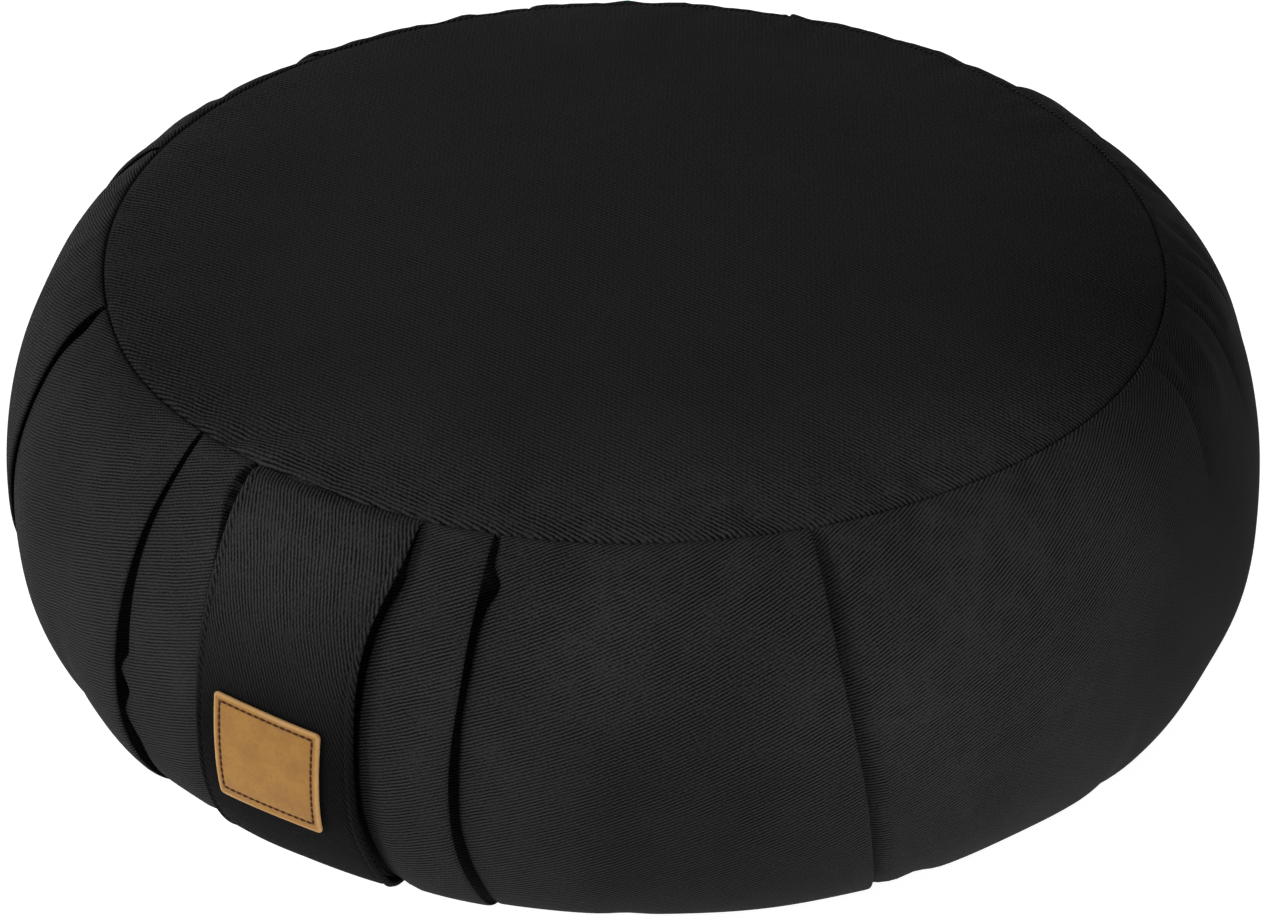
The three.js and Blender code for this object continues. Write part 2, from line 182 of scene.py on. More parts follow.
# The patch's rings: turns of its rounded rim, each face ring's inset, inset at the lower edge and depth, and
# the rings in its middle and on its underside as shares of their outlines
PATCH_STITCH_INSET = 2.3
PATCH_STITCH_LOW_INSET = 3.4
PATCH_RIM_TURNS = (-80, -40, 0, 30, 60, 90)
PATCH_FACE_RINGS = [
    (1.5, None, 0),
    (2, 2.9, 0.12),
    (PATCH_STITCH_INSET, PATCH_STITCH_LOW_INSET, 0.26),
    (2.9, 4, 0.1),
    (3.6, 4.6, 0),
]
PATCH_MIDDLE_SHARES = (0.85, 0.65, 0.45, 0.25, 0.08)
PATCH_UNDER_SHARES = (0.1, 0.5)
STITCH_SIDES = 6
STITCH_RINGS = 7

# Puckers along the seams: seed, waves around with their lean, height, and how far they reach
PUCKERS = [
    (3, [(169, 40), (134, -50), (108, 60)], 0.2, 5),
    (4, [(74, 40), (55, -50), (38, 60)], 0.4, 14),
]
SEAM_TUCK = 1.3
SEAM_TUCK_REACH = 0.55

# Lumps of the filled band: waves around with their lean
LUMP_SEED = 11
LUMP_WAVES = [(17, 30), (11, -25), (7, 40), (23, -35)]
LUMP_HEIGHT = 0.4

# Soft creases of the band, each a groove: drop and azimuth of its start and of its end, depth and width
CREASES = [
    (0.02, 42.5, 0.1, 40, 1.1, 3),
    (0.12, -87, 0.3, -92, 1, 3.5),
    (0.03, 72, 0.15, 69.5, 1.5, 4),
    (0.06, 75.5, 0.25, 73, -1.2, 5),
    (0.02, 85.5, 0.2, 83.5, 1.8, 4.5),
    (0.08, 93, 0.28, 92, -1.2, 5),
    (0.02, 98, 0.26, 95, 1.8, 4.5),
    (0.02, 108, 0.14, 106, 1.5, 4),
    (0.02, 118, 0.14, 116, 1, 3.5),
    (0.03, 148, 0.2, 150, 1.1, 4),
    (0.03, -155, 0.18, -152, 1.1, 4),
    (0.03, -125, 0.15, -128, 1, 3.5),
    (0.08, -53.5, 0.3, -52.6, 0.7, 2.2),
    (0.65, 24, 0.95, 28, 1.2, 5),
    (0.62, 2, 0.93, -1, 0.8, 6),
    (0.66, 50, 0.95, 46, 0.9, 6),
    (0.64, -62, 0.95, -58, 0.9, 5),
    (0.6, 112, 0.95, 118, 0.9, 6),
    (0.6, 176, 0.95, 179, 0.9, 6),
    (0.62, -98, 0.95, -94, 0.9, 6),
]
CREASE_END = 5

# Top panel: its rings as shares of the seam's radius, and its slack
TOP_SHARES = [0.02, 0.06, 0.12, 0.18, 0.25, 0.32, 0.39, 0.46, 0.52, 0.58, 0.64, 0.69, 0.735, 0.775, 0.81]
TOP_SHARES += [0.84, 0.867, 0.89, 0.91, 0.928, 0.943, 0.956, 0.967, 0.976, 0.983, 0.9885, 0.9925, 0.995]
TOP_SHARES += [0.997, 0.9985, 0.9995]
SLACK_SCALE = 0.014
SLACK_SEED = 5
SLACK_HEIGHT = 1.1

# Soft tucks of the top panel: azimuth at the seam, its drift on the way inwards, depth and width
TOP_TUCKS = [
    (-46.5, 0.3, 1.5, 4.5),
    (-41, 0.2, -0.9, 5),
    (-9, -0.1, 0.8, 5),
    (33, -0.2, 0.8, 6),
    (76, 0.1, 1, 5),
    (118, -0.1, 0.8, 6),
    (-98, 0.2, 0.8, 6),
    (171, 0.2, 0.8, 6),
]
TUCK_REACH = 24

# Simulated unevenness: a plain copy of the filled form, blown up a little as cloth with its seams held
SIM_SHRINK = 2.5
SIM_COLUMNS = 120
SIM_TOP_SHARES = [0.06, 0.2, 0.35, 0.5, 0.65, 0.8, 0.9, 0.97]
SIM_BAND_ROWS = 30
SIM_BASE_RADIUS = 80
SIM_VOXEL = 6
SIM_SEAM_HOLD = 6
SIM_BASE_HOLD = 4
SIM_CLOTH = {
    "quality": 6,
    "mass": 0.3,
    "tension_stiffness": 12,
    "compression_stiffness": 12,
    "shear_stiffness": 6,
    "bending_stiffness": 0.4,
    "use_pressure": True,
    "uniform_pressure_force": 4,
    "vertex_group_mass": "pinned",
}
SIM_FRAMES = 20
SIM_CAP = 9
SIM_SHARE = 0.15
SIM_BINS = 72
SIM_CENTRE_RADIUS = 100
SIM_CENTRE_HEIGHT = 60
SIM_FREE_HEIGHTS = (6, 24)
SIM_LEAST_RADIUS = 120

# Twill: turns and scales of its lines on each panel, its pitch, floats and unevenness
BAND_TWILL_RISE = math.radians(23.5)
TOP_TWILL_TURN = math.radians(-34)
TOP_TWILL_SCALE = 0.745
STRAP_TWILL_TURN = math.radians(114)
STRAP_TWILL_SCALE = 0.9
TWILL_PITCH = 1
TWILL_FLOAT = 1.3
TWILL_WAVER = 1.4
TWILL_RELIEF = 0.0004
RIB_MIDDLE = 0.45
FELT_SHARE = 0.43

# Heights in metres between which the cloth turns felted, and between which it turns lighter: below these it is
# painted darker towards the bottom, as painted shade
FELT_LEVELS = (0.1235, 0.1285)
PAINTED_SHADE_LEVELS = (0.025, 0.115)

# Patches of painted light and shade, where the cloth is painted lighter or darker than elsewhere: place and
# reach in metres, and the change
PAINTED_LIGHT_PATCHES = [
    ((-0.085, -0.142, 0.12), 0.07, 0.45),
    ((0, -0.16, 0.123), 0.07, 0.55),
    ((0.085, -0.142, 0.12), 0.07, 0.45),
    ((0.106, -0.163, 0.08), 0.12, 0.52),
    ((0.19, -0.03, 0.055), 0.15, -0.95),
    ((0.02, -0.195, 0.035), 0.09, -0.25),
    ((-0.195, -0.03, 0.07), 0.12, -0.38),
]

FLOOR_HALF = 20000

CAMERA_PLACE = (0, -1184.5, 816.9)
CAMERA_RIGHT = (1, 0.0054, 0.0081)
CAMERA_UP = (-0.0097, 0.5473, 0.8369)
CAMERA_FORWARD = (-0.0001, 0.8369, -0.5474)
CAMERA_LENS = 124.91


# Smooth curve through table values, on the same slopes as the CAD model's
def smooth_curve(places, values):
    places = np.array(places, float)
    values = np.array(values, float)
    last = len(places) - 1

    def curve(place):
        place = np.asarray(place, float)
        after = np.clip(np.searchsorted(places, place, side="right"), 1, last)
        before = after - 1
        t0, t1 = places[before], places[after]
        earlier = np.where(before >= 1, before - 1, after)
        later = np.where(after < last, after + 1, before)
        half = (t1 - t0) / 2
        w0 = half / (t0 - places[earlier])
        w1 = half / (places[later] - t1)
        p = (np.clip(place, places[0], places[-1]) - t0) / (t1 - t0)
        p2, p3 = p**2, p**3
        return (
            (-w0 * p3 + 2 * w0 * p2 - w0 * p) * values[earlier]
            + ((1 + w0) * p3 + (-1.5 - 2 * w0) * p2 + (-0.5 + w0) * p + 1) * values[before]
            + ((-1 - w1) * p3 + (1.5 + w1) * p2 + 0.5 * p) * values[after]
            + (w1 * p3 - w1 * p2) * values[later]
        )

    return curve


def smoothstep(value, low, high):
    t = np.clip((value - low) / (high - low), 0, 1)
    return t * t * (3 - 2 * t)


seam_shift = smooth_curve(SEAM_SHIFT_AZIMUTHS, SEAM_SHIFTS)
strap_left = smooth_curve(STATIONS, STRAP_LEFT)
strap_right = smooth_curve(STATIONS, STRAP_RIGHT)
lips = [smooth_curve(STATIONS, row["lip"]) for row in PLEATS]


def gape_of(index, drop):
    return np.interp(drop, GAPE_DROPS, GAPES[PLEATS[index]["gape"]])


def placed(radius, azimuth, height):
    angle = np.radians(azimuth)
    radius, angle, height = np.broadcast_arrays(radius, angle, height)
    return np.stack([radius * np.sin(angle), -radius * np.cos(angle), height], -1)


# Radius and height of the plain band: a shoulder arc down to the bulge, then a heel arc down to the floor
def band_profile(drop):
    drop = np.asarray(drop, float)
    turn = SHOULDER_SWEEP * np.clip(1 - drop / BULGE_DROP, 0, 1)
    inward = (1 - np.cos(turn) ** SHOULDER_POWER) / (1 - math.cos(SHOULDER_SWEEP) ** SHOULDER_POWER)
    upward = (np.sin(turn) / math.sin(SHOULDER_SWEEP)) ** SHOULDER_POWER
    shoulder_radius = BULGE_RADIUS - (BULGE_RADIUS - SEAM_RADIUS) * inward
    shoulder_height = BULGE_HEIGHT + (SEAM_HEIGHT - BULGE_HEIGHT) * upward
    turn = np.clip((drop - BULGE_DROP) / (1 - BULGE_DROP), 0, 1) * math.pi / 2
    heel_radius = BULGE_RADIUS - (BULGE_RADIUS - HEEL_RADIUS) * (1 - np.cos(turn).clip(0) ** HEEL_POWER)
    heel_height = BULGE_HEIGHT * (1 - np.sin(turn) ** HEEL_POWER)
    upper = drop < BULGE_DROP
    return np.where(upper, shoulder_radius, heel_radius), np.where(upper, shoulder_height, heel_height)


def band_normal(drop):
    r0, z0 = band_profile(np.maximum(0, drop - NORMAL_REACH))
    r1, z1 = band_profile(np.minimum(1, drop + NORMAL_REACH))
    length = np.hypot(r1 - r0, z1 - z0)
    return -(z1 - z0) / length, (r1 - r0) / length


measured_drops = np.linspace(0, 1, 801)
measured_r, measured_z = band_profile(measured_drops)
measured_lengths = np.concatenate([[0], np.cumsum(np.hypot(np.diff(measured_r), np.diff(measured_z)))])
BAND_LENGTH = measured_lengths[-1]


def length_at(drop):
    return np.interp(drop, measured_drops, measured_lengths)


def drop_at(length):
    return np.interp(length, measured_lengths, measured_drops)


def degrees_across(millimetres, drop):
    return np.degrees(millimetres / band_profile(drop)[0])


def within_turn(azimuth):
    return (azimuth + 180) % 360 - 180


# How far the taut strap presses into the soft band
def strap_sink(azimuth, drop):
    side = degrees_across(STRAP_SINK_SIDE, drop)
    into_left = smoothstep(azimuth, strap_left(drop) - side, strap_left(drop))
    into_right = 1 - smoothstep(azimuth, strap_right(drop), strap_right(drop) + side)
    return STRAP_SINK * into_left * into_right * smoothstep(drop, STRAP_SINK_FROM, STRAP_SINK_BY)


# Point on the band, raised off its plain form and kept this far above the floor
def band_point(azimuth, drop, raised, lowest):
    azimuth, drop, raised = np.broadcast_arrays(azimuth, drop, raised)
    r, z = band_profile(drop)
    out_r, out_z = band_normal(drop)
    off = raised - strap_sink(azimuth, drop)
    shift = seam_shift(within_turn(azimuth)) * np.clip(1 - drop / SEAM_SHIFT_REACH, 0, 1) ** 2
    return placed(r + out_r * off + shift, azimuth, np.maximum(lowest, z + out_z * off))


# How low the band's cloth may reach: the strap runs under it to the bottom seam, so it lies higher there
def band_lowest(azimuth, drop):
    beside = degrees_across(STRAP_SIDE_ROOM, drop)
    over_it = (azimuth > strap_left(drop) - beside) & (azimuth < strap_right(drop) + beside)
    return FLOOR_CLEARANCE + np.where(over_it, STRAP_THICKNESS + STRAP_GAP + STRAP_UNDER_ROOM, 0)


# How far a fold stands open, from 0 where it is sewn or pressed flat to 1
def fold_opening(index, drop):
    pleat = PLEATS[index % len(PLEATS)]
    return np.sqrt(np.clip(drop / pleat["open"], 0, 1)) * (1 - smoothstep(drop, *pleat["flat"]))


# Soft dip of the cloth past a lip
def valley(index, past, drop):
    return PLEATS[index]["valley"] * fold_opening(index, drop) * (1 - smoothstep(past, 0, VALLEY_WIDTH))


# Sum of a few sines, as a slow unevenness of about plus and minus 1
def wander(place, seed, periods):
    random = np.random.default_rng(seed)
    total = sum(np.sin(2 * np.pi * (place / period + random.random())) for period in periods)
    return total / math.sqrt(len(periods))


# The same around the cushion, in whole waves, each leaning as it goes down the band
def wander_round(azimuth, length, seed, waves):
    random = np.random.default_rng(seed)
    angle = np.radians(azimuth)
    total = sum(np.sin(count * angle + length / lean + 2 * np.pi * random.random()) for count, lean in waves)
    return total / math.sqrt(len(waves))


# The lips on both sides of a panel, and the panel's width in millimetres at a drop
def panel_span(index, drop):
    following = (index + 1) % len(PLEATS)
    start = lips[index](drop)
    end = lips[following](drop) + (360 if following == 0 else 0)
    return start, end, np.radians(end - start) * band_profile(drop)[0]


# Height of a panel of cloth between two pleats: a slight swell, and a ramp up to the next lip
def panel_raise(index, share, width, drop):
    ramp = smoothstep(share, np.maximum(RAMP_LEAST_START, 1 - RAMP_LENGTH / width), 1)
    swell = PANEL_SWELL * np.sin(np.pi * np.clip(share, 0, 1))
    lift = PLEATS[(index + 1) % len(PLEATS)]["lift"]
    following, own = fold_opening(index + 1, drop), fold_opening(index, drop)
    return lift * ramp * following + swell * (1 - ramp) * np.maximum(own, following)


# Small puckers that the sewing draws into the cloth, fading away from the seam
def seam_puckers(azimuth, away):
    total = 0
    for seed, waves, height, reach in PUCKERS:
        total = total + wander_round(azimuth, away, seed, waves) * height * np.exp(-away / reach)
    return total * smoothstep(away, 0.5, 3)


# How far the cloth tucks down into the seam, at a distance from it
def seam_tuck(away):
    return SEAM_TUCK * np.exp(-away / SEAM_TUCK_REACH)


# The hollow beside the strap's left edge
def wedge_depth(azimuth, drop):
    aside = np.radians(azimuth - strap_left(drop)) * band_profile(drop)[0]
    width = np.interp(drop, WEDGE_DROPS, WEDGE_WIDTHS)
    inside = smoothstep(aside, -width - 0.4, -width + 0.4) * (1 - smoothstep(aside, 3, 9))
    return WEDGE_DEPTH * inside * np.clip(width / 1.6, 0, 1)


# Grooves of the soft creases, fading towards their ends
def crease_depth(azimuth, drop):
    total = np.zeros(np.broadcast(azimuth, drop).shape)
    for drop0, azimuth0, drop1, azimuth1, depth, width in CREASES:
        along = np.clip((drop - drop0) / (drop1 - drop0), 0, 1)
        beyond = (drop - (drop0 + along * (drop1 - drop0))) * BAND_LENGTH
        apart = within_turn(azimuth - (azimuth0 + along * (azimuth1 - azimuth0)))
        aside = np.radians(apart) * BULGE_RADIUS
        fade = np.sin(np.pi * np.clip(0.12 + 0.88 * along, 0, 1)) ** 0.7
        total += depth * fade * np.exp(-((aside / width) ** 2) - (beyond / CREASE_END) ** 2)
    return total


# Unevenness of the filled band away from its seams
def band_unevenness(azimuth, drop):
    length = length_at(drop)
    lumps = wander_round(azimuth, length, LUMP_SEED, LUMP_WAVES)
    inside = np.clip(np.minimum(drop / 0.12, (1 - drop) / 0.2), 0, 1)
    sunk = crease_depth(azimuth, drop) + seam_tuck(length)
    return LUMP_HEIGHT * lumps * inside - sunk + seam_puckers(azimuth, length)


def panel_height(share):
    roll = EDGE_ROLL * np.sqrt(1 - share**EDGE_ROLL_POWER)
    return SEAM_HEIGHT - SEAM_GROOVE + CROWN * (1 - share**2) + roll


# Closed form from rings of points between two single points
def closed_rings(rings):
    points = np.concatenate([ring.reshape(-1, 3) for ring in rings])
    count = rings[1].shape[0]
    faces = []
    for row in range(len(rings) - 3):
        a = 1 + row * count + np.arange(count)
        b = 1 + row * count + (np.arange(count) + 1) % count
        faces += np.stack([a, a + count, b + count, b], -1).tolist()
    last = len(points) - 1
    low = last - count
    faces += [[0, 1 + k, 1 + (k + 1) % count] for k in range(count)]
    faces += [[last, low + (k + 1) % count, low + k] for k in range(count)]
    return points, faces


# The filled form without its folds, a little smaller than the cushion
def plain_body():
    azimuth = np.linspace(-180, 180, SIM_COLUMNS, endpoint=False)
    rings = [np.array([[0, 0, panel_height(0) - SIM_SHRINK]])]
    for share in SIM_TOP_SHARES:
        rings.append(placed(SEAM_RADIUS * share, azimuth, panel_height(share) - SIM_SHRINK))
    for drop in np.linspace(0, 1, SIM_BAND_ROWS):
        rings.append(band_point(azimuth, drop, -SIM_SHRINK, 0))
    rings += [placed(REST_RADIUS, azimuth, 0), placed(SIM_BASE_RADIUS, azimuth, 0), np.zeros((1, 3))]
    return closed_rings(rings)


def new_mesh_object(name, points_mm, faces):
    mesh = bpy.data.meshes.new(name)
    mesh.from_pydata((np.asarray(points_mm) * MM).tolist(), [], faces)
    mesh.shade_smooth()
    obj = bpy.data.objects.new(name, mesh)
    bpy.context.scene.collection.objects.link(obj)
    return obj


def read_from(items, name, kind, width=1):
    values = np.empty(len(items) * width, kind)
    items.foreach_get(name, values)
    return values if width == 1 else values.reshape(-1, width)


def evaluated_points(obj):
    shown = obj.evaluated_get(bpy.context.evaluated_depsgraph_get())
    points = read_from(shown.to_mesh().vertices, "co", float, 3) / MM
    shown.to_mesh_clear()
    return points


def remeshed_copy(body):
    remesh = body.modifiers.new("remesh", "REMESH")
    remesh.mode = "VOXEL"
    remesh.voxel_size = SIM_VOXEL * MM
    shown = body.evaluated_get(bpy.context.evaluated_depsgraph_get())
    mesh = bpy.data.meshes.new_from_object(shown)
    even = bpy.data.objects.new("blown_body", mesh)
    bpy.context.scene.collection.objects.link(even)
    return even


def angle_in_section(points):
    radius = np.hypot(points[:, 0], points[:, 1])
    return np.arctan2(points[:, 2] - SIM_CENTRE_HEIGHT, radius - SIM_CENTRE_RADIUS)


# Blows the cloth up with its seam and its base held: how far each point moves
def blow_up(even, rest):
    radius = np.hypot(rest[:, 0], rest[:, 1])
    at_seam = np.hypot(radius - SEAM_RADIUS, rest[:, 2] - SEAM_HEIGHT) < SIM_SEAM_HOLD
    held = np.flatnonzero(at_seam | (rest[:, 2] < SIM_BASE_HOLD)).tolist()
    even.vertex_groups.new(name="pinned").add(held, 1, "REPLACE")
    cloth = even.modifiers.new("cloth", "CLOTH")
    for key, value in SIM_CLOTH.items():
        setattr(cloth.settings, key, value)
    cloth.settings.effector_weights.gravity = 0
    cloth.collision_settings.use_collision = False
    scene = bpy.context.scene
    for step in range(1, SIM_FRAMES + 1):
        scene.frame_set(step)
    moved = evaluated_points(even) - rest
    scene.frame_set(1)
    far = np.linalg.norm(moved, axis=1, keepdims=True)
    return moved * np.minimum(1, SIM_CAP / np.maximum(far, 1e-6))


# Tree of the blown body's rest points, and how far each moved out of the mean section
def blown_unevenness():
    body = new_mesh_object("plain_body", *plain_body())
    even = remeshed_copy(body)
    rest = evaluated_points(even)
    moved = blow_up(even, rest)
    out = (moved * read_from(even.data.vertices, "normal", float, 3)).sum(1)
    angle = angle_in_section(rest)
    edges = np.linspace(-math.pi, math.pi, SIM_BINS + 1)
    middles = (edges[1:] + edges[:-1]) / 2
    which = np.clip(np.digitize(angle, edges) - 1, 0, SIM_BINS - 1)
    count = np.bincount(which, minlength=SIM_BINS)
    mean = np.bincount(which, weights=out, minlength=SIM_BINS) / np.maximum(count, 1)
    uneven = out - np.interp(angle, middles[count > 0], mean[count > 0])
    for leftover in (body, even):
        bpy.data.objects.remove(leftover)
    tree = KDTree(len(rest))
    for number, point in enumerate(rest):
        tree.insert(point, number)
    tree.balance()
    return tree, uneven


blown = blown_unevenness()


# Moves points as the blown body moved around them, and leaves what rests on the floor where it is
def settled(points):
    if not blown:
        return points
    tree, uneven = blown
    flat = points.reshape(-1, 3).copy()
    away = np.zeros(len(flat))
    for number, point in enumerate(flat):
        near = tree.find_n(point, 6)
        weights = np.array([1 / (distance + 1) for _, _, distance in near])
        away[number] = (weights * uneven[[found for _, found, _ in near]]).sum() / weights.sum()
    radius = np.hypot(flat[:, 0], flat[:, 1])
    angle = angle_in_section(flat)
    step = away * smoothstep(flat[:, 2], *SIM_FREE_HEIGHTS) * SIM_SHARE
    outward = np.cos(angle) * step * (radius > SIM_LEAST_RADIUS) / np.maximum(radius, 1)
    flat[:, :2] += flat[:, :2] * outward[:, None]
    flat[:, 2] += np.sin(angle).clip(0) * step
    return flat.reshape(points.shape)


# One fold's columns: azimuth and raise down the band
def fold_columns(index, drop):
    opening = fold_opening(index, drop)
    gape = gape_of(index, drop)
    before = panel_span(index - 1, drop)[2]
    crest = panel_raise((index - 1) % len(PLEATS), 1 + FOLD[0]["past"] / before, before, drop)
    columns = []
    for row in FOLD:
        past = row["past"] + (gape if row["rim"] else 0)
        offset = row["sewn"] + (past - row["sewn"]) * opening
        below = (LIP_THICKNESS * row["thick"] + PLEATS[index]["pocket"] * row["deep"]) * opening
        below = below + valley(index, past, drop) * row["under"]
        columns.append((lips[index](drop) + degrees_across(offset, drop), crest * row["lift"] - below))
    return columns


# A panel's even stretches and the close columns at the strap's edge, in millimetres from its first lip
def panel_stretches(index, drop):
    start, _, width = panel_span(index, drop)
    opening, following = fold_opening(index, drop), fold_opening(index + 1, drop)
    first = FOLD[-1]["sewn"] + (FOLD[-1]["past"] + gape_of(index, drop) - FOLD[-1]["sewn"]) * opening
    last = width + FOLD[0]["sewn"] + (FOLD[0]["past"] - FOLD[0]["sewn"]) * following
    if index + 1 != STRAP_PLEAT:
        return [(first, last)], []
    strap_edge = np.radians(strap_left(drop) - start) * band_profile(drop)[0]
    close = [strap_edge + past for past in WEDGE_COLUMNS]
    return [(first, close[0]), (close[-1], last)], close


# One panel's columns, from the pocket's rim to the next lip
def panel_columns(index, drop):
    start, end, width = panel_span(index, drop)
    stretches, close = panel_stretches(index, drop)
    widest = panel_stretches(index, BULGE_DROP)[0]
    even = []
    for (low, high), (low_there, high_there) in zip(stretches, widest):
        count = max(6, round(float(high_there - low_there) / PANEL_COLUMN_EVERY))
        even.append([low + (high - low) * place / count for place in range(1, count)])
    columns = []
    for across in even[0] + close + sum(even[1:], []):
        azimuth = start + (end - start) * across / width
        height = panel_raise(index, across / width, width, drop) - valley(index, across, drop)
        columns.append((azimuth, height))
    return columns


def band_rows():
    close = [0.003, 0.007, 0.012, 0.018, 0.025, 0.033]
    even = np.arange(0.042, 0.985, 0.0105).tolist()
    return np.array([*close, *even, 0.99, 1])


# Azimuths and raises of the whole band, a row for each drop
def band_grid(drops):
    columns = []
    for index in range(len(PLEATS)):
        columns += fold_columns(index, drops)
        columns += panel_columns(index, drops)
    azimuth = np.stack([np.broadcast_to(column[0], drops.shape) for column in columns], -1)
    raised = np.stack([np.broadcast_to(column[1], drops.shape) for column in columns], -1)
    return azimuth, raised


def tuck_depth(azimuth, away):
    total = np.zeros(np.broadcast(azimuth, away).shape)
    for at_seam, drift, depth, width in TOP_TUCKS:
        aside = np.radians(within_turn(azimuth - at_seam - drift * away)) * SEAM_RADIUS
        total += depth * np.exp(-((aside / width) ** 2) - away / TUCK_REACH) * smoothstep(away, 0, 4)
    return total


# Small unevenness of the top panel: slack patches in its middle, puckers and tucks at its edge
def top_unevenness(x, y, azimuth, away):
    places = zip(x.ravel() * SLACK_SCALE, y.ravel() * SLACK_SCALE)
    slack = np.array([noise.noise(Vector((px, py, SLACK_SEED))) for px, py in places]).reshape(x.shape)
    slack *= SLACK_HEIGHT * smoothstep(away, 0, 40)
    return slack + seam_puckers(azimuth + 1.3, away) * 0.8 - tuck_depth(azimuth, away)


def cushion_rings(drops, azimuth, raised):
    seam_azimuth = band_grid(np.zeros(1))[0][0]
    seam_radius = SEAM_RADIUS + seam_shift(within_turn(seam_azimuth))
    rings = [np.array([[0, 0, panel_height(0)]])]
    for share in TOP_SHARES:
        ring = placed(seam_radius * share, seam_azimuth, panel_height(share))
        away = (1 - share) * SEAM_RADIUS
        ring[:, 2] += top_unevenness(ring[:, 0], ring[:, 1], seam_azimuth, away) - seam_tuck(away)
        rings.append(ring)
    rings.append(placed(seam_radius, seam_azimuth, SEAM_HEIGHT - SEAM_GROOVE - seam_tuck(0)))
    for row, drop in enumerate(drops):
        height = raised[row] + band_unevenness(azimuth[row], drop) - wedge_depth(azimuth[row], drop)
        rings.append(band_point(azimuth[row], drop, height, band_lowest(azimuth[row], drop)))
    under = [placed(radius, azimuth[-1], height) for radius, height, _ in UNDER_RINGS]
    return [*rings, *under, np.zeros((1, 3))]


# Weave coordinates, in millimetres along the twill's lines and across them
def along_and_across(u, v, turn):
    return np.stack([u * math.cos(turn) + v * math.sin(turn), -u * math.sin(turn) + v * math.cos(turn)], -1)


def set_weave(obj, per_loop):
    layer = obj.data.uv_layers.new(name="weave")
    layer.data.foreach_set("uv", np.asarray(per_loop, np.float32).ravel())


def cushion_weave(obj, drops, azimuth):
    mesh = obj.data
    count = azimuth.shape[1]
    first_band_ring = 1 + len(TOP_SHARES)
    corners = read_from(mesh.loops, "vertex_index", int)
    points = read_from(mesh.vertices, "co", float, 3) / MM
    band = np.zeros((len(points), 2))
    ring_drops = [0, *drops, *(drop for _, _, drop in UNDER_RINGS)]
    ring_azimuth = np.concatenate([azimuth[:1], azimuth, np.repeat(azimuth[-1:], len(UNDER_RINGS), 0)])
    for number, drop in enumerate(ring_drops):
        u = np.radians(ring_azimuth[number]) * BULGE_RADIUS
        v = -np.where(drop <= 1, length_at(drop), BAND_LENGTH * drop)
        start = 1 + (first_band_ring - 1 + number) * count
        band[start : start + count] = along_and_across(u, v, BAND_TWILL_RISE)
    per_loop = (along_and_across(points[:, 0], points[:, 1], TOP_TWILL_TURN) * TOP_TWILL_SCALE)[corners]
    whole_turn = along_and_across(2 * math.pi * BULGE_RADIUS, 0, BAND_TWILL_RISE)
    for face in mesh.polygons:
        inside = slice(face.loop_start, face.loop_start + face.loop_total)
        found = corners[inside]
        if (found.min() - 1) // count + 1 >= first_band_ring and found.max() < len(points) - 1:
            per_loop[inside] = band[found]
            column = (found - 1) % count
            if column.max() - column.min() > 1:
                per_loop[inside][column == 0] += whole_turn
    set_weave(obj, per_loop)


def build_cushion():
    drops = band_rows()
    azimuth, raised = band_grid(drops)
    points, faces = closed_rings(cushion_rings(drops, azimuth, raised))
    obj = new_mesh_object("zafu_cushion", settled(points), faces)
    cushion_weave(obj, drops, azimuth)
    return obj


# Height of the band's outer cloth at any azimuth that isn't on a fold
def raise_at(azimuth, drop):
    azimuth, drop = np.broadcast_arrays(azimuth, drop)
    total = np.zeros(azimuth.shape)
    for index in range(len(PLEATS)):
        start, end, width = panel_span(index, drop)
        inside = (azimuth >= start) & (azimuth < end)
        height = panel_raise(index, (azimuth - start) / (end - start), width, drop)
        total = np.where(inside, height, total)
    return total


# Point of the strap, or over it, standing off the band's cloth
def over_strap(azimuth, drop, off):
    azimuth, drop, off = np.broadcast_arrays(azimuth, drop, off)
    crest = lips[STRAP_PLEAT](drop) - degrees_across(-FOLD[0]["past"], drop)
    lowest = FLOOR_CLEARANCE + np.maximum(0, STRAP_GAP + STRAP_THICKNESS - off)
    held = np.minimum(azimuth, crest)
    height = raise_at(held, drop) + band_unevenness(azimuth, drop).clip(0) + off
    return band_point(azimuth, drop, height, lowest)


# Closed form from a grid of loops: each row is one loop around the section
def looped_faces(rows, count):
    faces = []
    for row in range(rows - 1):
        a = row * count + np.arange(count)
        b = row * count + (np.arange(count) + 1) % count
        faces += np.stack([a, b, b + count, a + count], -1).tolist()
    faces.append(list(range(count))[::-1])
    faces.append([(rows - 1) * count + k for k in range(count)])
    return faces


# The strap's section: millimetres from its left edge and height off the cloth, once around
def strap_section():
    half = STRAP_THICKNESS / 2
    width = STRAP_MEAN_WIDTH
    turn = np.radians(np.linspace(0, 90, 5))
    insets = half * (1 - np.cos(turn))
    rises = half * np.sin(turn)
    middle = np.linspace(half, width - half, STRAP_COLUMNS)[1:-1]
    near = np.concatenate([[1.4, 2.1, 2.6, 3.1, 3.9], width - np.array([3.9, 3.1, 2.6, 2.1, 1.4])])
    middle = np.unique(np.concatenate([middle[(middle > 5) & (middle < width - 5)], near]))
    edge = np.minimum(middle, width - middle)
    groove = 0.42 * np.exp(-(((edge - STRAP_STITCH_INSET) / 0.6) ** 2))
    puff = 0.3 * np.exp(-(((edge - 1.3) / 0.8) ** 2))
    right = width - insets
    across = np.concatenate([insets, middle, right[::-1], right[1:], middle[::-1], insets[::-1][:-1]])
    top = np.concatenate([rises, half - groove + puff, rises[::-1]])
    under = np.concatenate([-rises[1:], -half + 0 * middle, -rises[::-1][:-1]])
    return across / width, half + np.concatenate([top, under])


